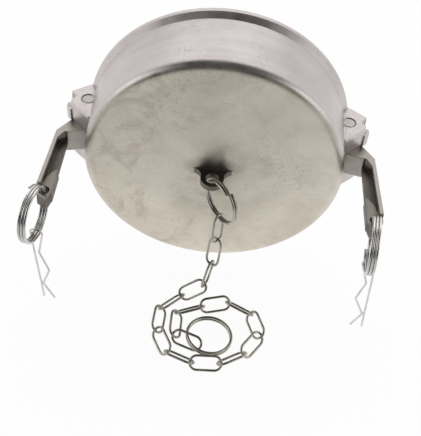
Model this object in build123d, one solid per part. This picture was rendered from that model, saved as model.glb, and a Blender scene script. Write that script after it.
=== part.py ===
from build123d import *
from math import acos, atan2, cos, degrees, hypot, radians, sin, sqrt, tan
import os

os.makedirs("parts", exist_ok=True)

# A camlock dust cap lying on its rim edge. Millimetres.
# The origin is on the socket axis, where the pilot bore starts above the gasket.
# +Y leaves the open mouth, the closed end faces -Y, +Z is up and the levers are at -X and +X.

# Socket
adapter_diameter = 176.0
pilot_clearance = 0.5
pilot_depth = 9.0
mouth_relief = 0.7
mouth_chamfer = 1.5
gasket_thickness = 6.35
gasket_width = 13.5
gasket_undercut = 1.5
gasket_rim_gap = 0.3
gasket_face_gap = 0.15

# Casting, its wall and flange measured outwards from the mouth bore
cap_height = 61.0
closed_end_thickness = 6.5
wall_at_closed_end = 9.0
wall_at_flange = 10.6
flange_width = 13.6
flange_rim_length = 4.0
flange_flare_length = 5.6
corner_radius = 7.0

# Lever pins and the ears that carry them
pin_diameter = 10.0
pin_offset_from_bore = 11.0
pin_depth_from_mouth = 19.6
pin_recess = 0.3
pin_running_clearance = 0.05
pin_hole_chamfer = 0.8
ear_thickness = 15.4
lever_thickness = 19.2
lever_side_play = 0.2
ear_edge_chamfer = 0.8
ear_root = 8.7
ear_front_depth = 21.7
ear_front_root = 3.3
ear_side = 12.3
ear_side_depth = 7.1
ear_corner = 14.0
ear_corner_rise = 8.5
ear_boss_reach = 16.6
ear_boss_depth = 2.2
ear_boss_end = 12.9
ear_boss_end_depth = 8.2
ear_boss_height = 11.8
slot_overcut = 8.0
ear_boss_round = 3.2
latch_notch_radius = 3.4
latch_notch_rise = 1.8

# Cam lever, in plan from its own pin: x away from the cap axis, y towards the mouth
cam_bite = 4.2
cam_open_clearance = 0.9
cam_slot_clearance = 1.9
front_inner = -0.5
front_depth = 18.8
front_slope = 3.4
shoulder = 12.7
shoulder_depth = 7.0
knee = 21.8
knee_depth = 20.6
shank_inner = 13.2
shank_outer = 24.4
shank_rib_thickness = 3.0
web_thickness = 3.8
pocket_start_depth = 29.4
pad_start_depth = 58.0
pad_arc_rise = 2.4
pad_end_depth = 74.0
pad_thickness = 10.0
rib_end_depth = 78.6
tip_hole = 18.7
tip_hole_depth = 81.4
tip_hole_radius = 4.0
tip_eye_radius = 5.6
tip_nose_reach = 12.6
tip_nose_radius = 3.2
tip_bevel_land = 0.3
tip_bevel_turn_deg = 35.0
lever_edge_chamfer = 0.7

# Finger rings, three turns of wire, held by the snug tip holes
finger_ring_mean_radius = 20.3
finger_wire = 2.1
finger_turn_gap = 0.03
finger_ring_lean_deg = {"left": 11.0, "right": -6.0}
finger_ring_tilt_deg = {"left": 0.0, "right": 4.0}
finger_ring_start_deg = {"left": 45.0, "right": 45.0}

# Safety clips
clip_wire = 1.6
clip_length = 79.0
clip_head_clearance = 0.25
clip_bend_radius = 2.5
clip_perch_deg = {"left": 0.0, "right": 0.0}
clip_turn_deg = {"left": 0.0, "right": 180.0}
clip_lean_deg = {"left": 0.0, "right": 6.0}

# Tether lug on the closed end
lug_thickness = 4.5
lug_hole_depth = 9.7
lug_hole_radius = 4.6
lug_tip_radius = 8.8
lug_root_half_width = 17.0
lug_edge_chamfer = 0.6

# Split rings of the tether, two turns each
tether_ring_mean_radius = 17.3
tether_wire = 2.2
lug_ring_plan_deg = -52.0
lug_ring_drop_deg = 40.0

# Chain
link_wire = 2.0
link_length = 26.0
link_width = 13.0
link_play = 0.9
hang_forward_deg = 20.5
hang_side_deg = [-2.5, -6.0, -13.0]
hang_face_deg = [52.0, -36.0, 66.0]
landing_plan_deg = 191.0
floor_turns_deg = [34, 42, 31, 41, 24, 29, 24, 56, 41, 44, 7, 66, 70]
floor_lean_deg = 45.0
last_lean_deg = 45.0
end_ring_slack = 1.0
end_ring_plan_deg = 24.0
end_ring_lift = 0.3

# Derived
pilot_radius = adapter_diameter / 2 + pilot_clearance
relief_radius = pilot_radius + mouth_relief
groove_radius = pilot_radius + gasket_undercut
floor_of_socket = -(gasket_thickness + gasket_face_gap)
face_y = floor_of_socket - closed_end_thickness
mouth_y = face_y + cap_height
pin_x = relief_radius + pin_offset_from_bore
pin_y = mouth_y - pin_depth_from_mouth
slot_half = lever_thickness / 2 + lever_side_play
ear_top = slot_half + ear_thickness
flange_radius = relief_radius + flange_width
ground_z = -flange_radius

# The cam is an eccentric disc. Closed it reaches cam_bite inside the pilot bore; with the
# lever straight out it clears the mouth bore by cam_open_clearance.
closed_reach = pin_x - (pilot_radius - cam_bite)
open_reach = pin_offset_from_bore - cam_open_clearance
cam_offset = (closed_reach - open_reach) / 2
cam_radius = hypot((closed_reach + open_reach) / 2, cam_offset)
cam_sweep_front = hypot(cam_offset, cam_offset) + cam_radius


def prism(points, z_half):
    return extrude(make_face(Polyline(*points, close=True)), amount=z_half, both=True)


def upright_hole(x, y, radius, z_half):
    return Pos(x, y, 0) * Cylinder(radius, 2 * z_half)


def turned_profile(points):
    """Turn a closed outline of (radius, y) points about the Y axis."""
    outline = make_face(Polyline(*[(r, y, 0) for r, y in points], close=True))
    return revolve(outline, Axis.Y, 360)


def cap_blank():
    wall_r = relief_radius + wall_at_closed_end
    flare_y = mouth_y - flange_rim_length - flange_flare_length
    outside = turned_profile([
        (0, face_y), (wall_r, face_y), (wall_r, face_y + corner_radius),
        (relief_radius + wall_at_flange, flare_y),
        (flange_radius, mouth_y - flange_rim_length),
        (flange_radius, mouth_y), (0, mouth_y),
    ])
    corner = outside.edges().filter_by(GeomType.CIRCLE).sort_by(Axis.Y)[0]
    outside = fillet(corner, corner_radius * 0.95)
    rim = outside.edges().filter_by(GeomType.CIRCLE).sort_by(Axis.Y)[-1]
    return chamfer(rim, 0.5)


def ear_boss():
    """The rounded swelling of the ear's outboard side, below its flat top."""
    outline = [
        Line((0, ear_corner_rise / 2), (ear_side, ear_corner_rise / 2)),
        ThreePointArc((ear_side, ear_corner_rise / 2), (ear_boss_reach, -ear_boss_depth),
                      (ear_boss_end, -ear_boss_end_depth)),
        Line((ear_boss_end, -ear_boss_end_depth), (0, -ear_boss_end_depth)),
        Line((0, -ear_boss_end_depth), (0, ear_corner_rise / 2)),
    ]
    boss = extrude(make_face(outline), amount=ear_boss_height)
    top = boss.faces().sort_by(Axis.Z)[-1]
    return fillet([e for e in top.edges() if e.center().X > ear_side], ear_boss_round)


def ear_pair(side):
    outline = [
        (-ear_root, pin_depth_from_mouth), (-0.7, pin_depth_from_mouth),
        (ear_corner, ear_corner_rise), (ear_side, -ear_side_depth),
        (-ear_front_root, -ear_front_depth), (-ear_root, -ear_front_depth),
    ]
    pair = []
    for z_sign in (1, -1):
        ear = extrude(make_face(Polyline(*outline, close=True)), amount=ear_thickness)
        top = ear.faces().sort_by(Axis.Z)[-1]
        far_edges = [e for e in top.edges() if e.center().X > -ear_root + 1]
        ear = chamfer(far_edges, ear_edge_chamfer) + ear_boss()
        ear = Pos(0, 0, slot_half) * ear
        pair.append(ear if z_sign > 0 else mirror(ear, Plane.XY))
    pair = pair[0] + pair[1]
    pair = pair - upright_hole(ear_corner - 0.6, latch_notch_rise, latch_notch_radius, ear_top + 1)
    pair = Pos(pin_x, pin_y, 0) * pair
    return pair if side > 0 else mirror(pair, Plane.YZ)


def lug():
    half, tip = lug_root_half_width, lug_tip_radius
    tip_y = -(lug_hole_depth + tip)
    neck_y = -lug_hole_depth + 3.5
    outline = [
        Line((-half, 2), (-half, 0)),
        ThreePointArc((-half, 0), (-tip - 2.4, neck_y / 3), (-tip, neck_y)),
        Line((-tip, neck_y), (-tip, -lug_hole_depth)),
        ThreePointArc((-tip, -lug_hole_depth), (0, tip_y), (tip, -lug_hole_depth)),
        Line((tip, -lug_hole_depth), (tip, neck_y)),
        ThreePointArc((tip, neck_y), (tip + 2.4, neck_y / 3), (half, 0)),
        Line((half, 0), (half, 2)),
        Line((half, 2), (-half, 2)),
    ]
    plate = extrude(make_face(outline), amount=lug_thickness / 2, both=True)
    plate -= upright_hole(0, -lug_hole_depth, lug_hole_radius, lug_thickness)
    rims = [e for e in plate.edges().filter_by(GeomType.CIRCLE)
            if abs(e.radius - lug_hole_radius) < 0.01]
    plate = chamfer(rims, lug_edge_chamfer)
    return Pos(0, face_y, 0) * plate


def cap_body():
    body = cap_blank() + ear_pair(1) + ear_pair(-1) + lug()
    socket = turned_profile([
        (0, floor_of_socket), (groove_radius, floor_of_socket),
        (groove_radius, 0), (pilot_radius, 0), (pilot_radius, pilot_depth),
        (relief_radius, pilot_depth + mouth_relief),
        (relief_radius, mouth_y - mouth_chamfer),
        (relief_radius + mouth_chamfer, mouth_y), (relief_radius + mouth_chamfer, mouth_y + 1),
        (0, mouth_y + 1),
    ])
    body -= socket
    slot_front = pin_y - cam_sweep_front - 0.7
    slot_back = pin_y + open_reach + cam_slot_clearance
    for side in (1, -1):
        slot = Box(2 * (pin_x - relief_radius + slot_overcut), slot_back - slot_front, 2 * slot_half)
        corners = slot.edges().filter_by(Axis.X)
        slot = fillet(corners, 1.2)
        body -= Pos(side * pin_x, (slot_back + slot_front) / 2, 0) * slot
        body -= upright_hole(side * pin_x, pin_y, pin_diameter / 2, ear_top + 1)
        for z_sign in (1, -1):
            body -= Pos(side * pin_x, pin_y, z_sign * (ear_top - pin_hole_chamfer / 2)) * Cone(
                pin_diameter / 2 + pin_hole_chamfer * (z_sign < 0),
                pin_diameter / 2 + pin_hole_chamfer * (z_sign > 0), pin_hole_chamfer)
    return body


def gasket():
    outer = groove_radius - gasket_rim_gap
    inner = outer - gasket_width
    return turned_profile([(inner, floor_of_socket), (outer, floor_of_socket),
                           (outer, -gasket_face_gap), (inner, -gasket_face_gap)])


def pivot_pin(side):
    length = 2 * (ear_top - pin_recess)
    pin = chamfer(Cylinder(pin_diameter / 2, length).edges().filter_by(GeomType.CIRCLE), 0.5)
    return Pos(side * pin_x, pin_y, 0) * pin


def cam_lever():
    """One lever in plan about its own pin. Its shank lies along -y when closed."""
    half = lever_thickness / 2
    cam = Pos(-cam_offset, -cam_offset) * Circle(cam_radius)
    arm = make_face(Polyline(
        (front_inner, -cam_offset), (front_inner, -front_depth),
        (shank_inner, -front_depth - front_slope), (shank_inner, -tip_hole_depth),
        (shank_outer, -tip_hole_depth), (knee, -knee_depth), (shoulder, -shoulder_depth),
        (cam_radius - cam_offset, -cam_offset), close=True))
    nose_y = -tip_hole_depth - tip_nose_reach + tip_nose_radius
    nose = Pos(tip_hole, nose_y) * Circle(tip_nose_radius)
    taper = make_face(Polyline(
        (shank_inner, -tip_hole_depth), (tip_hole - tip_nose_radius, nose_y),
        (tip_hole + tip_nose_radius, nose_y), (shank_outer, -tip_hole_depth), close=True))
    eye = Pos(tip_hole, -tip_hole_depth) * Circle(tip_eye_radius)
    lever = extrude(cam + arm + eye + taper + nose, amount=half, both=True)
    rims = [e for e in lever.edges() if abs(abs(e.center().Z) - half) < 0.01
            and shank_inner - 1 < e.center().X and e.center().Y > -rib_end_depth + 1]
    lever = chamfer(rims, lever_edge_chamfer)
    lever -= pad_relief()
    lever -= pocket(1) + pocket(-1)
    lever -= Cylinder(pin_diameter / 2 + pin_running_clearance, lever_thickness + 2)
    lever -= upright_hole(tip_hole, -tip_hole_depth, tip_hole_radius, half + 1)
    return lever


def rib_inner(depth):
    """How far out the rib's inner side is, this far along the shank."""
    share = (depth - knee_depth) / (tip_hole_depth - knee_depth)
    return knee + (shank_outer - knee) * share - shank_rib_thickness


def pad_relief():
    """The stock taken off both sides so that only the rib keeps the full thickness."""
    half = lever_thickness / 2
    start = (pocket_start_depth + pad_start_depth) / 2
    inner, outer = shank_inner - 3, shank_outer + 3
    end = tip_hole_depth + tip_nose_reach + 3
    plan = make_face(Polyline(
        (inner, -start), (rib_inner(start), -start), (rib_inner(rib_end_depth), -rib_end_depth),
        (outer, -rib_end_depth), (outer, -end), (inner, -end), close=True))
    upper = Pos(0, 0, pad_thickness / 2) * extrude(plan, amount=half)
    turn = radians(tip_bevel_turn_deg)
    top, first = pad_thickness / 2, tip_hole_radius + tip_bevel_land
    bevel = make_face(Polyline(
        (first, top), (first + top, 0), (first + tip_nose_reach, 0),
        (first + tip_nose_reach, half), (first, half), close=True))
    across = Plane(origin=(tip_hole, -tip_hole_depth, 0), x_dir=(sin(turn), -cos(turn), 0),
                   z_dir=(-cos(turn), -sin(turn), 0))
    upper += across * extrude(bevel, amount=tip_nose_reach + tip_eye_radius, both=True)
    return upper + mirror(upper, Plane.XY)


def pocket(z_sign):
    """The open pocket beside the shank's rib, above or below its web."""
    inner = shank_inner - 3
    mouth = (shank_inner + 2.0, -front_depth - front_slope)
    first = (rib_inner(pocket_start_depth), -pocket_start_depth)
    last = (rib_inner(pad_end_depth), -pad_end_depth)
    arc_end = (inner, -pad_start_depth + 1)
    run = Vector(arc_end[0] - last[0], arc_end[1] - last[1])
    middle = Vector(*last) + run * 0.5 + Vector(run.Y, -run.X).normalized() * pad_arc_rise
    outline = [
        Line((inner, -front_depth - front_slope), mouth), Line(mouth, first), Line(first, last),
        ThreePointArc(last, middle, arc_end),
        Line(arc_end, (inner, -front_depth - front_slope)),
    ]
    cut = extrude(make_face(outline), amount=lever_thickness)
    cut = Pos(0, 0, web_thickness / 2) * cut
    return cut if z_sign > 0 else mirror(cut, Plane.XY)


def coil(mean_radius, wire, turns, gap, start_deg):
    """A wire coil about Z, centred on the XY plane, starting at start_deg."""
    pitch = wire + gap
    path = Helix(pitch=pitch, height=pitch * turns, radius=mean_radius)
    section = Plane(origin=path @ 0, z_dir=path % 0) * Circle(wire / 2)
    body = sweep(section, path=path, is_frenet=True)
    return Rot(0, 0, start_deg) * Pos(0, 0, -pitch * turns / 2) * body


def standing(shape, centre, plan_deg, tilt_deg=0):
    """Stand a ring made about Z in the plane at plan_deg from X, its foot tilted to the left."""
    return Pos(*centre) * Rot(0, 0, plan_deg) * Rot(90 + tilt_deg, 0, 0) * shape


def on_lever(side, x, y):
    return (side * (pin_x + x), pin_y + y, 0)


def finger_ring_frame(side):
    """Hole centre, ring centre and plan direction from the hole to the ring centre."""
    name = "right" if side > 0 else "left"
    lean = finger_ring_lean_deg[name]
    plan = -90 + side * lean
    hole = on_lever(side, tip_hole, -tip_hole_depth)
    reach = finger_ring_mean_radius - 0.25
    centre = (hole[0] + reach * cos(radians(plan)), hole[1] + reach * sin(radians(plan)), 0)
    return hole, centre, plan


def finger_ring(side):
    hole, centre, plan = finger_ring_frame(side)
    name = "right" if side > 0 else "left"
    ring = coil(finger_ring_mean_radius, finger_wire, 3, finger_turn_gap,
                finger_ring_start_deg[name])
    return standing(ring, centre, plan, finger_ring_tilt_deg[name])


def clip_eye(side):
    """The point of the finger ring that the safety clip's head goes round."""
    name = "right" if side > 0 else "left"
    hole, centre, plan = finger_ring_frame(side)
    angle = -90 - clip_perch_deg[name]
    on_ring = Pos(finger_ring_mean_radius * cos(radians(angle)),
                  finger_ring_mean_radius * sin(radians(angle)), 0)
    return standing(on_ring, centre, plan, finger_ring_tilt_deg[name]).position


def clip_head_radius():
    turn = finger_wire + finger_turn_gap
    half_width = 1.15 * turn + finger_wire / 2
    return half_width + clip_head_clearance + clip_wire / 2


def tangent_point(x, z, radius, turn):
    """Where a line from (x, z) touches the circle about the origin, on the side given."""
    angle = atan2(z, x) + turn * acos(radius / hypot(x, z))
    return (radius * cos(angle), 0, radius * sin(angle))


def clip_wire_path():
    """The clip's wire in the XZ plane, with the head's centre at the origin."""
    r = clip_head_radius()
    foot = r - clip_length
    straight_end = (-0.6, 0, foot)
    first_bend = (0.2, 0, -0.285 * (clip_length - r))
    left = tangent_point(straight_end[0], foot, r, -1)
    right = tangent_point(first_bend[0], first_bend[2], r, 1)
    kinked = FilletPolyline(right, first_bend, (6.6, 0, 0.54 * foot), (0.2, 0, 0.785 * foot),
                            (8.2, 0, foot + 1.0), radius=clip_bend_radius)
    head = ThreePointArc(left, (0, 0, r), right)
    return [Line(straight_end, left), head] + list(kinked.edges())


def safety_clip(side):
    hole, centre, plan = finger_ring_frame(side)
    path = Wire(clip_wire_path())
    section = Plane(origin=path @ 0, z_dir=path % 0) * Circle(clip_wire / 2)
    clip = sweep(section, path=path)
    weight = clip.center(CenterOf.MASS)
    hang = degrees(atan2(weight.X, -weight.Z)) + clip_lean_deg["right" if side > 0 else "left"]
    clip = Rot(0, hang, 0) * clip
    turn = clip_turn_deg["right" if side > 0 else "left"]
    return Pos(*clip_eye(side)) * Rot(0, 0, plan + 90 + turn) * clip


def lug_ring_frame():
    plan, drop = radians(lug_ring_plan_deg), radians(lug_ring_drop_deg)
    hole = (0, face_y - lug_hole_depth, 0)
    flat = tether_ring_mean_radius * cos(drop)
    centre = (hole[0] + flat * cos(plan), hole[1] + flat * sin(plan),
              -tether_ring_mean_radius * sin(drop))
    return hole, centre


def lug_ring():
    hole, centre = lug_ring_frame()
    ring = coil(tether_ring_mean_radius, tether_wire, 2, 0.03, 60)
    return standing(ring, centre, lug_ring_plan_deg)


def chain_path():
    """The points where link meets link, from the lug ring to the free end."""
    pitch = link_length - 2 * link_wire - link_play
    hole, centre = lug_ring_frame()
    points = [Vector(centre[0], centre[1],
                     centre[2] - tether_ring_mean_radius + tether_wire / 2 + link_play / 2)]
    half_width = (link_width - link_wire) / 2
    low, high = (ground_z + link_wire / 2 + half_width * sin(radians(lean))
                 for lean in (floor_lean_deg, last_lean_deg))
    while points[-1].Z - low > 0.9 * pitch:
        sideways = hang_side_deg[min(len(points), len(hang_side_deg)) - 1]
        down = Vector(sin(radians(sideways)), -sin(radians(hang_forward_deg)), -1).normalized()
        points.append(points[-1] + down * pitch)
    plan = landing_plan_deg
    for number, turn in enumerate([0] + floor_turns_deg):
        plan += turn
        drop = (high if number >= len(floor_turns_deg) - 1 else low) - points[-1].Z
        flat = sqrt(pitch ** 2 - drop ** 2)
        points.append(points[-1] + Vector(flat * cos(radians(plan)),
                                          flat * sin(radians(plan)), drop))
    return points


def chain_link(start, end, roll_deg):
    r = (link_width - link_wire) / 2
    straight = link_length / 2 - link_wire / 2 - r
    path = Wire([
        Line((-straight, r, 0), (straight, r, 0)),
        ThreePointArc((straight, r, 0), (straight + r, 0, 0), (straight, -r, 0)),
        Line((straight, -r, 0), (-straight, -r, 0)),
        ThreePointArc((-straight, -r, 0), (-straight - r, 0, 0), (-straight, r, 0)),
    ])
    bar = Plane(origin=path @ 0, z_dir=path % 0) * Circle(link_wire / 2)
    link = sweep(bar, path=path)
    along = (end - start).normalized()
    across = Vector(0, 0, 1).cross(along).normalized()
    frame = Plane(origin=(start + end) * 0.5, x_dir=along, z_dir=along.cross(across))
    return frame * Rot(roll_deg, 0, 0) * link


def link_roll(number, start, end, hanging):
    """Links on the ground lean one way and the other. The hanging ones face their own ways."""
    if number > hanging:
        lean = last_lean_deg if number > hanging + len(floor_turns_deg) else floor_lean_deg
        return lean if number % 2 else -lean
    known = min(number, len(hang_face_deg))
    face = hang_face_deg[known - 1] + 90 * (number - known)
    along = end - start
    return degrees(atan2(along.X, -along.Y)) - face


def chain_end_ring(start, end):
    """The loose ring on the last link, lying in the coil with one side on that link."""
    along = (end - start).normalized()
    crossing = (start + end) * 0.5 + along * end_ring_slack + Vector(0, 0, end_ring_lift)
    plan = radians(end_ring_plan_deg)
    rest_z = ground_z + tether_wire + 0.05
    centre = crossing + Vector(cos(plan), sin(plan), 0) * tether_ring_mean_radius
    rise = crossing.Z - rest_z
    tilt = degrees(atan2(rise, 2 * tether_ring_mean_radius))
    ring = coil(tether_ring_mean_radius, tether_wire, 2, 0.03, 150)
    return (Pos(centre.X, centre.Y, rest_z + rise / 2) * Rot(0, 0, end_ring_plan_deg)
            * Rot(0, tilt, 0) * ring)


def save(node, shape):
    export_step(shape, f"parts/{node}.step")
    print(node, round(shape.volume, 1), shape.is_valid)


save("cap_body", cap_body())
save("gasket", gasket())
right_lever = Pos(pin_x, pin_y, 0) * cam_lever()
levers = {"right": right_lever, "left": mirror(right_lever, Plane.YZ)}
for name, side in (("left", -1), ("right", 1)):
    save(f"pivot_pin_{name}", pivot_pin(side))
    save(f"cam_lever_{name}", levers[name])
    save(f"finger_ring_{name}", finger_ring(side))
    save(f"safety_clip_{name}", safety_clip(side))
save("lug_ring", lug_ring())
path = chain_path()
hanging = len(path) - 2 - len(floor_turns_deg)
for number, (start, end) in enumerate(zip(path, path[1:]), 1):
    roll = link_roll(number, start, end, hanging)
    save(f"chain_link_{number:02d}", chain_link(start, end, roll))
save("chain_end_ring", chain_end_ring(path[-2], path[-1]))
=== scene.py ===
import bpy
import math
from mathutils import Euler, Matrix, Vector


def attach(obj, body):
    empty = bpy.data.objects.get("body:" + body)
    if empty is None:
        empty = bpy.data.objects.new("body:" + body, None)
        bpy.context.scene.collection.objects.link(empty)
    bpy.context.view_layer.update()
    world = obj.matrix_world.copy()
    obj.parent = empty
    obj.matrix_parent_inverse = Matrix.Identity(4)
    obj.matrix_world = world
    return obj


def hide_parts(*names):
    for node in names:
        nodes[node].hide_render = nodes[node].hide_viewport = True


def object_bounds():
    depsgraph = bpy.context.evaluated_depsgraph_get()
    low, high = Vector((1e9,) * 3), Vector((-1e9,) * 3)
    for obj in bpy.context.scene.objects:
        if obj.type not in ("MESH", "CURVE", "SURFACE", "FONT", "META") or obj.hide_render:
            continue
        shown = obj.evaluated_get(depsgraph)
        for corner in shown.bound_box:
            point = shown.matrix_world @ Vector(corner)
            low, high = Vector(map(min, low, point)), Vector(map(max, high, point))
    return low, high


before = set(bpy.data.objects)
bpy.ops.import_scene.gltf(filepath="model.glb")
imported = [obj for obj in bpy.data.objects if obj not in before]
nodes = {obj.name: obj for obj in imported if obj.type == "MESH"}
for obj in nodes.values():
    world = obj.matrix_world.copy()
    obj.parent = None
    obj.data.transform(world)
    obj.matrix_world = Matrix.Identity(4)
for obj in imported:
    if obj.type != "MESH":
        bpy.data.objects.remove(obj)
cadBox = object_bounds()
print("frame loaded,", len(nodes), "pieces")

mm = 0.001
ground = cadBox[0][2]  # the flange and the chain's coil stand at this height


# small helpers for shader and geometry trees

def addNode(tree, kind, values=None, **settings):
    node = tree.nodes.new(kind)
    for key, value in settings.items():
        setattr(node, key, value)
    for key, value in (values or {}).items():
        node.inputs[key].default_value = value
    return node


def feed(tree, socket, value):
    # another node's output is linked, a plain value is typed in
    if isinstance(value, bpy.types.NodeSocket):
        tree.links.new(value, socket)
    elif value is not None:
        socket.default_value = value


def calc(tree, operation, a, b=None):
    node = addNode(tree, "ShaderNodeMath", operation=operation)
    feed(tree, node.inputs[0], a)
    feed(tree, node.inputs[1], b)
    return node.outputs["Value"]


def vectorCalc(tree, operation, a, b=None):
    node = addNode(tree, "ShaderNodeVectorMath", operation=operation)
    feed(tree, node.inputs[0], a)
    feed(tree, node.inputs[1], b)
    return node.outputs["Value" if operation in ("DOT_PRODUCT", "LENGTH", "DISTANCE") else "Vector"]


def remap(tree, value, low, high, toLow=0.0, toHigh=1.0):
    ranger = addNode(tree, "ShaderNodeMapRange", {"From Min": low, "From Max": high,
                                                  "To Min": toLow, "To Max": toHigh})
    feed(tree, ranger.inputs["Value"], value)
    return ranger.outputs["Result"]


def mixed(tree, fields, shares):
    total = calc(tree, "MULTIPLY", fields[0], shares[0])
    for field, share in zip(fields[1:], shares[1:]):
        total = calc(tree, "ADD", total, calc(tree, "MULTIPLY", field, share))
    return total


def blendColour(tree, share, a, b):
    node = addNode(tree, "ShaderNodeMix", data_type="RGBA", blend_type="MIX")
    feed(tree, node.inputs["Factor"], share)
    for socket, value in ((node.inputs[6], a), (node.inputs[7], b)):
        feed(tree, socket, (*value, 1.0) if isinstance(value, tuple) else value)
    return node.outputs[2]


def noiseAt(tree, vector, scale, detail, roughness, distortion=0.0):
    noise = addNode(tree, "ShaderNodeTexNoise", {"Scale": scale, "Detail": detail,
                                                 "Roughness": roughness, "Distortion": distortion})
    feed(tree, noise.inputs["Vector"], vector)
    return noise.outputs["Fac"]


def stretched(tree, vector, scale):
    mapping = addNode(tree, "ShaderNodeMapping", {"Scale": scale})
    feed(tree, mapping.inputs["Vector"], vector)
    return mapping.outputs["Vector"]


def bump(tree, height, normal, depth, strength):
    node = addNode(tree, "ShaderNodeBump", {"Distance": depth, "Strength": strength})
    feed(tree, node.inputs["Height"], height)
    feed(tree, node.inputs["Normal"], normal)
    return node.outputs["Normal"]


def startMaterial(name):
    material = bpy.data.materials.new(name)
    material.use_nodes = True
    tree = material.node_tree
    tree.nodes.clear()
    out = addNode(tree, "ShaderNodeOutputMaterial")
    shader = addNode(tree, "ShaderNodeBsdfPrincipled")
    tree.links.new(shader.outputs["BSDF"], out.inputs["Surface"])
    spot = addNode(tree, "ShaderNodeTexCoord").outputs["Object"]
    return material, tree, shader, spot


def splitSpot(tree, spot):
    parts = addNode(tree, "ShaderNodeSeparateXYZ")
    feed(tree, parts.inputs["Vector"], spot)
    return parts.outputs


def softEdges(tree, radius):
    return addNode(tree, "ShaderNodeBevel", {"Radius": radius}, samples=6).outputs["Normal"]


# cosines of an edge's turn away from the flat face, where wear begins and where it is full
edgeTurn = (0.995, 0.80)


def edgeShare(tree, softNormal, strength):
    flat = addNode(tree, "ShaderNodeNewGeometry").outputs["Normal"]
    return remap(tree, vectorCalc(tree, "DOT_PRODUCT", flat, softNormal), *edgeTurn, 0.0, strength)


# the cast body: ground closed face, rough cast wall, turned socket
# a noise is written as scale, detail, roughness and distortion, and a relief as depth and strength

castBody = {
    "faceLight": (0.84, 0.785, 0.685), "faceDark": (0.62, 0.567, 0.478),
    "wallLight": (0.67, 0.622, 0.612), "wallDark": (0.50, 0.458, 0.447),
    "stain": (0.20, 0.172, 0.150), "smear": (0.33, 0.285, 0.222), "pit": (0.095, 0.080, 0.068),
    "turned": (0.60, 0.585, 0.56), "lugShadeColour": (0.070, 0.064, 0.052), "wornEdge": (0.72, 0.69, 0.64),
    "metallic": 0.92, "roughness": 0.38, "roughSpread": (-0.07, 0.10), "turnedShine": 0.18,
    # where the closed face and the turned socket begin
    "faceDepth": -12.4 * mm, "cornerReach": 2.2 * mm,
    "socketRadius": 91.0 * mm, "socketFloor": -6.6 * mm, "maskBlur": 0.4 * mm,
    # broad tone
    "cloud": (16.0, 5.0, 0.6, 0.6), "blotch": (55.0, 6.0, 0.68, 0.3), "blotchRange": (0.35, 0.65),
    "faceMix": (0.55, 0.45), "faceRange": (0.36, 0.62),
    "wallMix": (0.26, 0.40, 0.34), "wallRange": (0.36, 0.60),
    # grinding marks, smears and streaks
    "markStretch": (30.0, 1.0, 900.0), "marks": (1.0, 3.0, 0.7), "markRange": (0.60, 0.72), "markShare": 0.30,
    "smears": (38.0, 6.0, 0.75, 0.8), "smearRange": (0.50, 0.68), "smearShare": 0.50,
    "smearSpan": 60.0 * mm, "smearRight": 0.35,
    "streaks": (4.0, 6.0, 0.65), "streakAround": 0.35, "streakAcross": 60.0,
    # the lug, in front of the face, darkened with painted shade, and a painted shadow on the face above its
    # root
    "lugFrom": 0.7 * mm, "lugTo": 1.1 * mm, "lugShadeShare": 0.85,
    "shadowStretch": (0.055, 1.0, 0.11), "shadowHeight": 0.42 * mm, "shadowRim": 1.45 * mm, "shadowCore": 0.75 * mm,
    "shadowShare": 0.58,
    # specks in clusters
    "clusters": (24.0, 4.0, 0.6), "clusterRange": (0.46, 0.64),
    "specks": (560.0, 5.0, 0.85), "speckRange": (0.54, 0.66), "speckShare": 0.62,
    # relief
    "edgeRound": 0.8 * mm, "edgeWear": 0.35,
    "dimples": (240.0, 3.0, 0.5), "dimpleRelief": (0.10 * mm, 0.6),
    "grain": (1500.0, 3.0, 0.6), "grainRelief": (0.03 * mm, 0.8), "pitRelief": (0.08 * mm, 0.8),
    "turning": {"Scale": 260.0, "Distortion": 0.4, "Detail": 1.0}, "turningRelief": (0.02 * mm, 0.5),
}


def closedFaceColour(tree, spot, place, cloud, blotch):
    s = castBody
    # cloudy tone, as a hand-ground casting has
    tone = remap(tree, mixed(tree, (cloud, blotch), s["faceMix"]), *s["faceRange"])
    face = blendColour(tree, tone, s["faceDark"], s["faceLight"])
    # long grinding marks across the face
    marks = noiseAt(tree, stretched(tree, spot, s["markStretch"]), *s["marks"])
    face = blendColour(tree, remap(tree, marks, *s["markRange"], 0.0, s["markShare"]), face, s["stain"])
    # brownish smears, thickest left of the middle
    smear = remap(tree, noiseAt(tree, spot, *s["smears"]), *s["smearRange"])
    leftward = remap(tree, place["X"], s["smearSpan"], -s["smearSpan"], s["smearRight"], 1.0)
    smear = calc(tree, "MULTIPLY", calc(tree, "MULTIPLY", smear, leftward), s["smearShare"])
    return blendColour(tree, smear, face, s["smear"])


def castWallColour(tree, place, radius, cloud, blotch):
    s = castBody
    # streaked around its girth
    girth = addNode(tree, "ShaderNodeCombineXYZ")
    angle = calc(tree, "ARCTAN2", place["X"], place["Z"])
    feed(tree, girth.inputs["X"], calc(tree, "MULTIPLY", angle, s["streakAround"]))
    feed(tree, girth.inputs["Y"], calc(tree, "MULTIPLY", place["Y"], s["streakAcross"]))
    feed(tree, girth.inputs["Z"], calc(tree, "MULTIPLY", radius, s["streakAcross"]))
    streak = noiseAt(tree, girth.outputs["Vector"], *s["streaks"])
    tone = remap(tree, mixed(tree, (streak, blotch, cloud), s["wallMix"]), *s["wallRange"])
    return blendColour(tree, tone, s["wallDark"], s["wallLight"])


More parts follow.
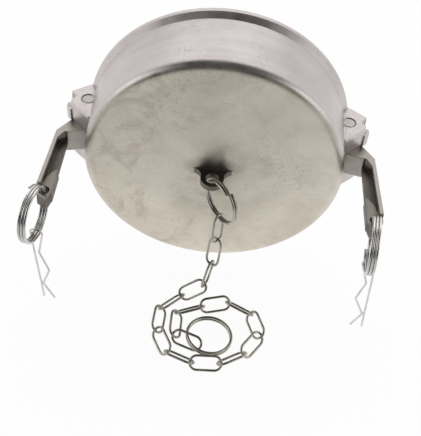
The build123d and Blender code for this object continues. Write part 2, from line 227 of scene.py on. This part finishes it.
def lugPaintedShade(tree, spot, place, onFace, colour):
    s = castBody
    # painted shade: the lug darkened as if turned away from the light, and a painted shadow on the face above
    # its root
    onLug = remap(tree, place["Y"], s["faceDepth"] - s["lugFrom"], s["faceDepth"] - s["lugTo"])
    colour = blendColour(tree, calc(tree, "MULTIPLY", onLug, s["lugShadeShare"]), colour, s["lugShadeColour"])
    # painted shadow on the face above the lug's root, darkest at its core
    squeezed = vectorCalc(tree, "MULTIPLY", spot, s["shadowStretch"])
    reach = vectorCalc(tree, "DISTANCE", squeezed, (0.0, s["faceDepth"], s["shadowHeight"]))
    dull = remap(tree, reach, s["shadowRim"], s["shadowCore"], 0.0, s["shadowShare"])
    return blendColour(tree, calc(tree, "MULTIPLY", dull, onFace), colour, s["lugShadeColour"])


def castBodyRelief(tree, spot, softNormal, pitShare, inSocket):
    s = castBody
    # sand-cast grain, pits, and fine turning rings inside
    rings = addNode(tree, "ShaderNodeTexWave", s["turning"], wave_type="BANDS", bands_direction="Y")
    feed(tree, rings.inputs["Vector"], spot)
    turning = calc(tree, "MULTIPLY", rings.outputs["Fac"], inSocket)
    normal = bump(tree, noiseAt(tree, spot, *s["dimples"]), softNormal, *s["dimpleRelief"])
    normal = bump(tree, noiseAt(tree, spot, *s["grain"]), normal, *s["grainRelief"])
    normal = bump(tree, calc(tree, "SUBTRACT", 1.0, pitShare), normal, *s["pitRelief"])
    return bump(tree, turning, normal, *s["turningRelief"])


def castBodyMaterial():
    s = castBody
    material, tree, shader, spot = startMaterial("castBodyMetal")
    place = splitSpot(tree, spot)
    radius = vectorCalc(tree, "LENGTH", vectorCalc(tree, "MULTIPLY", spot, (1.0, 0.0, 1.0)))
    onFace = remap(tree, place["Y"], s["faceDepth"] + s["cornerReach"], s["faceDepth"])
    inSocket = calc(tree, "MULTIPLY",
                    remap(tree, radius, s["socketRadius"] + s["maskBlur"], s["socketRadius"]),
                    remap(tree, place["Y"], s["socketFloor"] - s["maskBlur"], s["socketFloor"]))
    cloud = noiseAt(tree, spot, *s["cloud"])
    blotch = noiseAt(tree, spot, *s["blotch"])
    face = closedFaceColour(tree, spot, place, cloud, blotch)
    wall = castWallColour(tree, place, radius, cloud, blotch)
    colour = blendColour(tree, onFace, wall, face)
    colour = lugPaintedShade(tree, spot, place, onFace, colour)
    cluster = remap(tree, noiseAt(tree, spot, *s["clusters"]), *s["clusterRange"])
    speck = remap(tree, noiseAt(tree, spot, *s["specks"]), *s["speckRange"])
    pitShare = calc(tree, "MULTIPLY", calc(tree, "MULTIPLY", cluster, speck), s["speckShare"])
    colour = blendColour(tree, pitShare, colour, s["pit"])
    colour = blendColour(tree, inSocket, colour, s["turned"])
    softNormal = softEdges(tree, s["edgeRound"])
    colour = blendColour(tree, edgeShare(tree, softNormal, s["edgeWear"]), colour, s["wornEdge"])
    smooth, coarse = (s["roughness"] + change for change in s["roughSpread"])
    rough = remap(tree, blotch, *s["blotchRange"], smooth, coarse)
    rough = calc(tree, "SUBTRACT", rough, calc(tree, "MULTIPLY", inSocket, s["turnedShine"]))
    feed(tree, shader.inputs["Base Color"], colour)
    feed(tree, shader.inputs["Roughness"], rough)
    feed(tree, shader.inputs["Metallic"], s["metallic"])
    feed(tree, shader.inputs["Normal"], castBodyRelief(tree, spot, softNormal, pitShare, inSocket))
    return material


# cam levers: dressed ribs, pockets darkened with painted shade

camLever = {
    "dressed": (0.50, 0.463, 0.42), "dressedDark": (0.345, 0.315, 0.283),
    "wornEdge": (0.66, 0.63, 0.58), "metallic": 0.9, "roughness": 0.38, "roughSpread": (-0.06, 0.12),
    # painted shade in the pocket between the ribs, and deeper painted shade on the web in its middle, each
    # from its side inwards
    "pocketShades": (
        {"side": 9.6 * mm, "start": 1.2 * mm, "full": 3.4 * mm, "share": 0.55, "tint": (0.125, 0.110, 0.098)},
        {"side": 5.0 * mm, "start": 0.4 * mm, "full": 2.0 * mm, "share": 0.70, "tint": (0.085, 0.076, 0.068)},
    ),
    "shankStart": 6.0 * mm,
    "cloud": (70.0, 5.0, 0.65, 0.3), "toneRange": (0.38, 0.62), "roughRange": (0.35, 0.65),
    "edgeRound": 0.7 * mm, "edgeWear": 0.5,
    "dimples": (260.0, 3.0, 0.5), "dimpleRelief": (0.10 * mm, 0.6),
    "grain": (1300.0, 3.0, 0.6), "grainRelief": (0.03 * mm, 0.7),
}


def camLeverMaterial():
    s = camLever
    material, tree, shader, spot = startMaterial("camLeverMetal")
    place = splitSpot(tree, spot)
    height = calc(tree, "ABSOLUTE", place["Z"])
    onShank = remap(tree, place["Y"], s["shankStart"], 0.0)
    cloud = noiseAt(tree, spot, *s["cloud"])
    colour = blendColour(tree, remap(tree, cloud, *s["toneRange"]), s["dressedDark"], s["dressed"])
    # painted shade in the pocket and on its web, deepest towards the middle
    for hollow in s["pocketShades"]:
        shaded = remap(tree, height, hollow["side"] - hollow["start"], hollow["side"] - hollow["full"])
        shaded = calc(tree, "MULTIPLY", shaded, onShank)
        colour = blendColour(tree, calc(tree, "MULTIPLY", shaded, hollow["share"]), colour, hollow["tint"])
    softNormal = softEdges(tree, s["edgeRound"])
    colour = blendColour(tree, edgeShare(tree, softNormal, s["edgeWear"]), colour, s["wornEdge"])
    smooth, coarse = (s["roughness"] + change for change in s["roughSpread"])
    normal = bump(tree, noiseAt(tree, spot, *s["dimples"]), softNormal, *s["dimpleRelief"])
    normal = bump(tree, noiseAt(tree, spot, *s["grain"]), normal, *s["grainRelief"])
    feed(tree, shader.inputs["Base Color"], colour)
    feed(tree, shader.inputs["Roughness"], remap(tree, cloud, *s["roughRange"], smooth, coarse))
    feed(tree, shader.inputs["Metallic"], s["metallic"])
    feed(tree, shader.inputs["Normal"], normal)
    return material


# drawn wire and the pins: bright rings and clips, dull tether, satin pin ends

wires = {
    "bright": {"light": (0.80, 0.785, 0.765), "dark": (0.64, 0.625, 0.605), "roughness": 0.26},
    "dull": {"light": (0.60, 0.57, 0.505), "dark": (0.42, 0.395, 0.35), "roughness": 0.34,
             "grainRelief": (0.015 * mm, 0.6)},
    "pin": {"light": (0.55, 0.525, 0.49), "dark": (0.38, 0.36, 0.33), "roughness": 0.40,
            "grainRelief": (0.05 * mm, 0.6)},
    "cloud": (130.0, 4.0, 0.6), "toneRange": (0.38, 0.62), "roughRange": (0.35, 0.65),
    "roughSpread": (-0.05, 0.07), "grain": (900.0, 3.0, 0.6),
    # painted shade where turns and links touch
    "contactShade": (0.035, 0.033, 0.030), "contactShadeReach": 1.6 * mm, "contactShadeRange": (0.85, 0.35), "contactShadeShare": 0.50,
}


def wireMaterial(name, kind):
    s, own = wires, wires[kind]
    material, tree, shader, spot = startMaterial(name)
    cloud = noiseAt(tree, spot, *s["cloud"])
    colour = blendColour(tree, remap(tree, cloud, *s["toneRange"]), own["dark"], own["light"])
    # painted shade: colour darkened by the nearness of other wire
    nearby = addNode(tree, "ShaderNodeAmbientOcclusion", {"Distance": s["contactShadeReach"]}, samples=12)
    contactShade = remap(tree, nearby.outputs["AO"], *s["contactShadeRange"], 0.0, s["contactShadeShare"])
    feed(tree, shader.inputs["Base Color"], blendColour(tree, contactShade, colour, s["contactShade"]))
    smooth, coarse = (own["roughness"] + change for change in s["roughSpread"])
    feed(tree, shader.inputs["Roughness"], remap(tree, cloud, *s["roughRange"], smooth, coarse))
    feed(tree, shader.inputs["Metallic"], 1.0)
    if "grainRelief" in own:
        grain = noiseAt(tree, spot, *s["grain"])
        feed(tree, shader.inputs["Normal"], bump(tree, grain, None, *own["grainRelief"]))
    return material


gasketRing = {
    "dark": (0.018, 0.018, 0.019), "light": (0.034, 0.033, 0.032), "roughness": 0.62, "specular": 0.4,
    "cloud": (90.0, 4.0, 0.6), "toneRange": (0.4, 0.62),
    "grain": (1100.0, 3.0, 0.6), "grainRelief": (0.03 * mm, 0.6),
}


def gasketMaterial():
    s = gasketRing
    material, tree, shader, spot = startMaterial("gasketRubber")
    tone = remap(tree, noiseAt(tree, spot, *s["cloud"]), *s["toneRange"])
    feed(tree, shader.inputs["Base Color"], blendColour(tree, tone, s["dark"], s["light"]))
    feed(tree, shader.inputs["Roughness"], s["roughness"])
    feed(tree, shader.inputs["Specular IOR Level"], s["specular"])
    grain = noiseAt(tree, spot, *s["grain"])
    feed(tree, shader.inputs["Normal"], bump(tree, grain, None, *s["grainRelief"]))
    return material


bodyMetal = castBodyMaterial()
leverMetal = camLeverMaterial()
brightWire = wireMaterial("brightWire", "bright")
dullWire = wireMaterial("dullWire", "dull")
pinSteel = wireMaterial("pinSteel", "pin")
rubber = gasketMaterial()
print("materials made")


def dress(name, material):
    piece = nodes[name]
    piece.data.materials.clear()
    piece.data.materials.append(material)


dress("cap_body", bodyMetal)
dress("gasket", rubber)
for side in ("left", "right"):
    dress(f"pivot_pin_{side}", pinSteel)
    dress(f"cam_lever_{side}", leverMetal)
    dress(f"safety_clip_{side}", brightWire)
print("castings, pins, gasket and clips dressed")


# geometry node trees for the wire pieces

def newTree(name, inputs):
    tree = bpy.data.node_groups.new(name, "GeometryNodeTree")
    tree.interface.new_socket("Geometry", in_out="INPUT", socket_type="NodeSocketGeometry")
    tree.interface.new_socket("Geometry", in_out="OUTPUT", socket_type="NodeSocketGeometry")
    for label, kind in inputs:
        tree.interface.new_socket(label, in_out="INPUT", socket_type="NodeSocket" + kind)
    return tree, tree.nodes.new("NodeGroupInput").outputs, tree.nodes.new("NodeGroupOutput")


def finishTree(tree, geometry, given, out):
    smooth = addNode(tree, "GeometryNodeSetShadeSmooth")
    realize = addNode(tree, "GeometryNodeRealizeInstances")
    paint = addNode(tree, "GeometryNodeSetMaterial")
    feed(tree, smooth.inputs["Geometry"], geometry)
    feed(tree, realize.inputs["Geometry"], smooth.outputs["Geometry"])
    feed(tree, paint.inputs["Geometry"], realize.outputs["Geometry"])
    feed(tree, paint.inputs["Material"], given["Material"])
    feed(tree, out.inputs["Geometry"], paint.outputs["Geometry"])


def bakeTree(name, mesh, tree, inputs, place=None):
    carrier = bpy.data.objects.new(name + ".carrier", mesh)
    bpy.context.scene.collection.objects.link(carrier)
    modifier = carrier.modifiers.new("shape", "NODES")
    modifier.node_group = tree
    for item in tree.interface.items_tree:
        if item.in_out == "INPUT" and item.name in inputs:
            modifier[item.identifier] = inputs[item.name]
    carrier.update_tag()
    evaluated = carrier.evaluated_get(bpy.context.evaluated_depsgraph_get())
    baked = bpy.data.meshes.new_from_object(evaluated)
    if place is not None:
        baked.transform(place)
    piece = bpy.data.objects.new(name, baked)
    bpy.context.scene.collection.objects.link(piece)
    bpy.data.objects.remove(carrier)  # and its modifier with it
    return piece


def pointMesh(name, points):
    mesh = bpy.data.meshes.new(name)
    mesh.from_pydata(points, [], [])
    return mesh


wireMesh = {
    "coilSides": 14, "coilSteps": 96,
    "linkSides": 12, "linkPoints": 64, "bendSteps": 9,
    "bendShare": 0.499,  # of the inner width, so that two bends don't quite meet
    "weldEnd": 1.6 * mm, "weldTop": 0.4 * mm,
}


def coilTree():
    tree, given, out = newTree("wireCoil", [("Turns", "Float"), ("Radius", "Float"), ("Wire", "Float"),
                                            ("Rise", "Float"), ("Steps", "Int"), ("Material", "Material")])
    spiral = addNode(tree, "GeometryNodeCurveSpiral")
    for label, source in (("Resolution", "Steps"), ("Rotations", "Turns"), ("Start Radius", "Radius"),
                          ("End Radius", "Radius"), ("Height", "Rise")):
        feed(tree, spiral.inputs[label], given[source])
    section = addNode(tree, "GeometryNodeCurvePrimitiveCircle", {"Resolution": wireMesh["coilSides"]})
    feed(tree, section.inputs["Radius"], given["Wire"])
    tube = addNode(tree, "GeometryNodeCurveToMesh", {"Fill Caps": True})
    feed(tree, tube.inputs["Curve"], spiral.outputs["Curve"])
    feed(tree, tube.inputs["Profile Curve"], section.outputs["Curve"])
    finishTree(tree, tube.outputs["Mesh"], given, out)
    return tree


def linkTree():
    tree, given, out = newTree("chainLinks", [("Length", "Float"), ("Width", "Float"), ("Wire", "Float"),
                                              ("Weld", "Float"), ("Material", "Material")])
    wire = given["Wire"]
    inner = calc(tree, "SUBTRACT", given["Width"], wire)
    loop = addNode(tree, "GeometryNodeCurvePrimitiveQuadrilateral")
    feed(tree, loop.inputs["Width"], calc(tree, "SUBTRACT", given["Length"], wire))
    feed(tree, loop.inputs["Height"], inner)
    rounded = addNode(tree, "GeometryNodeFilletCurve", mode="POLY")
    for socket in rounded.inputs:
        if socket.name == "Count":
            socket.default_value = wireMesh["bendSteps"]
        if socket.name == "Radius":
            feed(tree, socket, calc(tree, "MULTIPLY", inner, wireMesh["bendShare"]))
    feed(tree, rounded.inputs["Curve"], loop.outputs["Curve"])
    even = addNode(tree, "GeometryNodeResampleCurve", {"Count": wireMesh["linkPoints"]}, mode="COUNT")
    feed(tree, even.inputs["Curve"], rounded.outputs["Curve"])
    # a small weld swell half way along one side
    spot = splitSpot(tree, addNode(tree, "GeometryNodeInputPosition").outputs["Position"])
    weldSpan = {"From Min": wireMesh["weldEnd"], "From Max": wireMesh["weldTop"]}
    near = addNode(tree, "ShaderNodeMapRange", weldSpan, interpolation_type="SMOOTHSTEP")
    feed(tree, near.inputs["Value"], calc(tree, "ABSOLUTE", spot["X"]))
    onWeldSide = calc(tree, "GREATER_THAN", spot["Y"], 0.0)
    swell = calc(tree, "MULTIPLY", calc(tree, "MULTIPLY", near.outputs["Result"], onWeldSide), given["Weld"])
    thick = addNode(tree, "GeometryNodeSetCurveRadius")
    feed(tree, thick.inputs["Curve"], even.outputs["Curve"])
    feed(tree, thick.inputs["Radius"], calc(tree, "ADD", swell, 1.0))
    section = addNode(tree, "GeometryNodeCurvePrimitiveCircle", {"Resolution": wireMesh["linkSides"]})
    feed(tree, section.inputs["Radius"], calc(tree, "MULTIPLY", wire, 0.5))
    tube = addNode(tree, "GeometryNodeCurveToMesh")
    feed(tree, tube.inputs["Curve"], thick.outputs["Curve"])
    feed(tree, tube.inputs["Profile Curve"], section.outputs["Curve"])
    # one link at each point of the mesh, turned as the point says
    turn = addNode(tree, "GeometryNodeInputNamedAttribute", {"Name": "turn"}, data_type="FLOAT_VECTOR")
    angle = addNode(tree, "FunctionNodeEulerToRotation")
    feed(tree, angle.inputs["Euler"], turn.outputs["Attribute"])
    place = addNode(tree, "GeometryNodeInstanceOnPoints")
    feed(tree, place.inputs["Points"], given["Geometry"])
    feed(tree, place.inputs["Instance"], tube.outputs["Mesh"])
    feed(tree, place.inputs["Rotation"], angle.outputs["Rotation"])
    finishTree(tree, place.outputs["Instances"], given, out)
    return tree


coils = coilTree()
links = linkTree()


def coilPiece(name, wound, seam, place, material):
    rise = (wound["wire"] + wound["gap"]) * wound["turns"]
    start = Matrix.Rotation(math.radians(seam), 4, "Z") @ Matrix.Translation((0, 0, -rise / 2))
    return bakeTree(name, pointMesh(name + ".start", [(0.0, 0.0, 0.0)]), coils, {
        "Turns": wound["turns"], "Radius": wound["meanRadius"], "Wire": wound["wire"] / 2,
        "Rise": rise, "Steps": wireMesh["coilSteps"], "Material": material}, place @ start)


def upright(centre, plan, tilt=0.0):
    return (Matrix.Translation(centre) @ Matrix.Rotation(math.radians(plan), 4, "Z")
            @ Matrix.Rotation(math.radians(90 + tilt), 4, "X"))


def outward(plan, reach):
    return Vector((math.cos(math.radians(plan)), math.sin(math.radians(plan)), 0.0)) * reach


fingerRings = {
    "coil": {"turns": 3.0, "meanRadius": 20.3 * mm, "wire": 2.1 * mm, "gap": 0.03 * mm},
    "hole": (118.9 * mm, -53.0 * mm),  # of the right lever's tip, and mirrored for the left
    "hang": 20.05 * mm,
    "left": {"mirror": -1, "plan": -101.0, "tilt": 0.0, "seam": 108.0},
    "right": {"mirror": 1, "plan": -96.0, "tilt": 4.0, "seam": 236.0},
}
for side in ("left", "right"):
    own = fingerRings[side]
    hole = Vector((own["mirror"] * fingerRings["hole"][0], fingerRings["hole"][1], 0.0))
    centre = hole + outward(own["plan"], fingerRings["hang"])
    ring = coilPiece(f"fingerRing_{side}", fingerRings["coil"], own["seam"],
                     upright(centre, own["plan"], own["tilt"]), brightWire)
    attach(ring, f"ring_{side}")
    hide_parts(f"finger_ring_{side}")
print("finger rings wound")


# the tether: lug ring, hanging links, links coiled on the ground, end ring

tetherRings = {
    "coil": {"turns": 2.0, "meanRadius": 17.3 * mm, "wire": 2.2 * mm, "gap": 0.03 * mm},
    # the lug's hole along Y, and the ring that hangs from it
    "lugHole": -22.7 * mm, "lugPlan": -52.0, "lugDrop": 40.0, "lugSeam": 60.0,
    # the end ring rests on the ground at one side and on the last link at the other
    "endPlan": 24.0, "endSlide": 1.0 * mm, "endLift": 0.3 * mm, "endGap": 0.05 * mm, "endSeam": 150.0,
}
chain = {
    "length": 26.0 * mm, "width": 13.0 * mm, "wire": 2.0 * mm, "play": 0.9 * mm,
    "weld": 0.16,  # swell as a share of the wire's radius
    "hangForward": 20.5, "hangSideways": (-2.5, -6.0, -13.0), "hangFaces": (52.0, -36.0, 66.0),
    # on the ground: the first link's heading, the turn from each link to the next, and the lean on edge
    "landingPlan": 191.0, "floorTurns": (34, 42, 31, 41, 24, 29, 24, 56, 41, 44, 7, 66, 70),
    "floorLean": 45.0,
}


def lugRingCentre():
    s = tetherRings
    radius, drop = s["coil"]["meanRadius"], math.radians(s["lugDrop"])
    sideways = outward(s["lugPlan"], radius * math.cos(drop))
    return Vector((sideways.x, s["lugHole"] + sideways.y, -radius * math.sin(drop)))


def chainJoins(ringCentre):
    pitch = chain["length"] - 2 * chain["wire"] - chain["play"]
    leaning = (chain["width"] - chain["wire"]) / 2 * math.sin(math.radians(chain["floorLean"]))
    restHeight = ground + chain["wire"] / 2 + leaning
    ringFoot = tetherRings["coil"]["meanRadius"] - tetherRings["coil"]["wire"] / 2 - chain["play"] / 2
    joins = [ringCentre - Vector((0.0, 0.0, ringFoot))]
    forward = -math.sin(math.radians(chain["hangForward"]))
    for sideways in chain["hangSideways"]:
        down = Vector((math.sin(math.radians(sideways)), forward, -1.0)).normalized()
        joins.append(joins[-1] + down * pitch)
    plan = chain["landingPlan"]
    for turn in (0, *chain["floorTurns"]):
        plan += turn
        drop = restHeight - joins[-1].z
        joins.append(joins[-1] + outward(plan, math.sqrt(pitch ** 2 - drop ** 2)) + Vector((0.0, 0.0, drop)))
    return joins


def endRingPlace(start, end):
    s = tetherRings
    radius = s["coil"]["meanRadius"]
    crossing = (start + end) / 2 + (end - start).normalized() * s["endSlide"]
    low = ground + s["coil"]["wire"] + s["endGap"]
    rise = crossing.z + s["endLift"] - low
    centre = crossing + outward(s["endPlan"], radius)
    centre.z = low + rise / 2
    return (Matrix.Translation(centre) @ Matrix.Rotation(math.radians(s["endPlan"]), 4, "Z")
            @ Matrix.Rotation(math.atan2(rise, 2 * radius), 4, "Y"))


def linkPlaces(joins):
    places = []
    for number, (start, end) in enumerate(zip(joins, joins[1:])):
        along = (end - start).normalized()
        across = Vector((0, 0, 1)).cross(along).normalized()
        if number < len(chain["hangFaces"]):
            roll = math.degrees(math.atan2(along.x, -along.y)) - chain["hangFaces"][number]
        else:
            roll = -chain["floorLean"] if number % 2 else chain["floorLean"]
        base = Matrix((along, across, along.cross(across))).transposed()
        turned = base @ Matrix.Rotation(math.radians(roll), 3, "X")
        places.append(((start + end) / 2, turned.to_euler()))
    return places


def chainRun(name, body, places, covered):
    mesh = pointMesh(name + ".points", [middle for middle, turn in places])
    turns = mesh.attributes.new("turn", "FLOAT_VECTOR", "POINT")
    for number, (middle, turn) in enumerate(places):
        turns.data[number].vector = turn
    piece = bakeTree(name, mesh, links, {"Length": chain["length"], "Width": chain["width"],
                                         "Wire": chain["wire"], "Weld": chain["weld"], "Material": dullWire})
    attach(piece, body)
    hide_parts(*covered)


lugCentre = lugRingCentre()
joins = chainJoins(lugCentre)
lugRing = coilPiece("lugSplitRing", tetherRings["coil"], tetherRings["lugSeam"],
                    upright(lugCentre, tetherRings["lugPlan"]), dullWire)
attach(lugRing, "tether_drop")
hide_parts("lug_ring")
endRing = coilPiece("endSplitRing", tetherRings["coil"], tetherRings["endSeam"],
                    endRingPlace(joins[-2], joins[-1]), dullWire)
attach(endRing, "tether_ring")
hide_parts("chain_end_ring")
print("split rings wound")

places = linkPlaces(joins)
hanging = len(chain["hangSideways"])
linkNames = [f"chain_link_{number:02d}" for number in range(1, len(places) + 1)]
chainRun("hangingChain", "tether_drop", places[:hanging], linkNames[:hanging])
chainRun("coiledChain", "tether_coil", places[hanging:], linkNames[hanging:])
print("chain linked,", len(places), "links")


# floor, light and camera

studio = {
    "floorGap": 0.1 * mm, "floorSize": 6.0, "floorColour": (0.93, 0.93, 0.93, 1.0),
    "selfLit": 0.92, "backdrop": 1.035,  # what the lens sees of the floor is nearly all its own glow
    # metal sees the floor brightest beside the part and duller towards the lens, in metres along Y
    "bright": 1.0, "brightAt": -0.01, "dull": 0.62, "dullAt": -0.24,
    "surround": 0.95, "skyTint": (1.0, 0.99, 0.985),
    # the unlit side of the room
    "darkSide": (0.0066, -0.6788, 0.7343), "darkTint": (0.02, 0.02, 0.02), "darkFrom": 0.15, "darkTo": 0.58,
}
glowing = {"Color": (1.0, 1.0, 1.0, 1.0), "Strength": 1.0}


def floorMaterial():
    material = bpy.data.materials.new("paleFloor")
    material.use_nodes = True
    tree = material.node_tree
    tree.nodes.clear()
    out = addNode(tree, "ShaderNodeOutputMaterial")
    matt = addNode(tree, "ShaderNodeBsdfDiffuse", {"Color": studio["floorColour"]})
    glow = addNode(tree, "ShaderNodeEmission", glowing)
    rays = addNode(tree, "ShaderNodeLightPath").outputs
    place = splitSpot(tree, addNode(tree, "ShaderNodeNewGeometry").outputs["Position"])
    paper = remap(tree, place["Y"], studio["brightAt"], studio["dullAt"], studio["bright"], studio["dull"])
    whitened = calc(tree, "MULTIPLY", rays["Is Camera Ray"], studio["backdrop"])
    feed(tree, glow.inputs["Strength"], calc(tree, "MAXIMUM", whitened, paper))
    seen = calc(tree, "MULTIPLY", rays["Is Camera Ray"], studio["selfLit"])
    mix = addNode(tree, "ShaderNodeMixShader")
    feed(tree, mix.inputs["Fac"], calc(tree, "MAXIMUM", seen, rays["Is Glossy Ray"]))
    tree.links.new(matt.outputs["BSDF"], mix.inputs[1])
    tree.links.new(glow.outputs["Emission"], mix.inputs[2])
    tree.links.new(mix.outputs["Shader"], out.inputs["Surface"])
    return material


def makeFloor():
    mesh = bpy.data.meshes.new("floor")
    reach, height = studio["floorSize"] / 2, ground - studio["floorGap"]
    corners = [(x * reach, y * reach, height) for x, y in ((-1, -1), (1, -1), (1, 1), (-1, 1))]
    mesh.from_pydata(corners, [], [(0, 1, 2, 3)])
    mesh.materials.append(floorMaterial())
    floor = bpy.data.objects.new("floor", mesh)
    bpy.context.scene.collection.objects.link(floor)


def makeWorld():
    world = bpy.data.worlds.new("studio")
    bpy.context.scene.world = world
    world.use_nodes = True
    sky = world.node_tree
    sky.nodes.clear()
    out = addNode(sky, "ShaderNodeOutputWorld")
    direction = addNode(sky, "ShaderNodeTexCoord").outputs["Generated"]
    facing = vectorCalc(sky, "DOT_PRODUCT", direction, studio["darkSide"])
    darkShare = remap(sky, facing, studio["darkFrom"], studio["darkTo"])
    around = addNode(sky, "ShaderNodeBackground", {"Strength": studio["surround"]})
    feed(sky, around.inputs["Color"], blendColour(sky, darkShare, studio["skyTint"], studio["darkTint"]))
    white = addNode(sky, "ShaderNodeBackground", glowing)
    mix = addNode(sky, "ShaderNodeMixShader")
    feed(sky, mix.inputs["Fac"], addNode(sky, "ShaderNodeLightPath").outputs["Is Camera Ray"])
    sky.links.new(around.outputs["Background"], mix.inputs[1])
    sky.links.new(white.outputs["Background"], mix.inputs[2])
    sky.links.new(mix.outputs["Shader"], out.inputs["Surface"])


softBoxes = {
    "behindTop": {"at": (0.0, 0.75, 0.85), "size": (1.3, 0.7), "power": 1.5},
    "leftSide": {"at": (-1.1, -0.35, 0.55), "size": (0.8, 0.8), "power": 2.5},
    "rightSide": {"at": (1.1, -0.35, 0.55), "size": (0.8, 0.8), "power": 2.5},
}
lampAim = Vector((0.0, 0.0, -0.02))


def makeLamp(name, box):
    light = bpy.data.lights.new(name, "AREA")
    light.shape = "RECTANGLE"
    light.size, light.size_y = box["size"]
    light.energy = box["power"]
    lamp = bpy.data.objects.new(name, light)
    lamp.location = box["at"]
    lamp.rotation_mode = "QUATERNION"
    lamp.rotation_quaternion = (lampAim - Vector(box["at"])).to_track_quat("-Z", "Y")
    bpy.context.scene.collection.objects.link(lamp)


photoCamera = {
    "at": (5.31 * mm, -440.17 * mm, 410.48 * mm), "turned": (42.6506, -3.3167, 4.1479),
    "focalPixels": 785.0, "longSidePixels": 436.0, "sensor": 36.0, "clip": (0.01, 20.0),
}


def makeCamera():
    s = photoCamera
    lens = bpy.data.cameras.new("photoCamera")
    lens.sensor_width = s["sensor"]
    lens.lens = s["focalPixels"] / s["longSidePixels"] * s["sensor"]
    lens.clip_start, lens.clip_end = s["clip"]
    camera = bpy.data.objects.new("photoCamera", lens)
    turn = Euler([math.radians(angle) for angle in s["turned"]]).to_matrix().to_4x4()
    camera.matrix_world = Matrix.Translation(s["at"]) @ turn
    bpy.context.scene.collection.objects.link(camera)
    bpy.context.scene.camera = camera


makeFloor()
makeWorld()
for name, box in softBoxes.items():
    makeLamp(name, box)
makeCamera()
bpy.context.scene.view_settings.view_transform = "Standard"
print("studio ready")

bpy.context.view_layer.update()
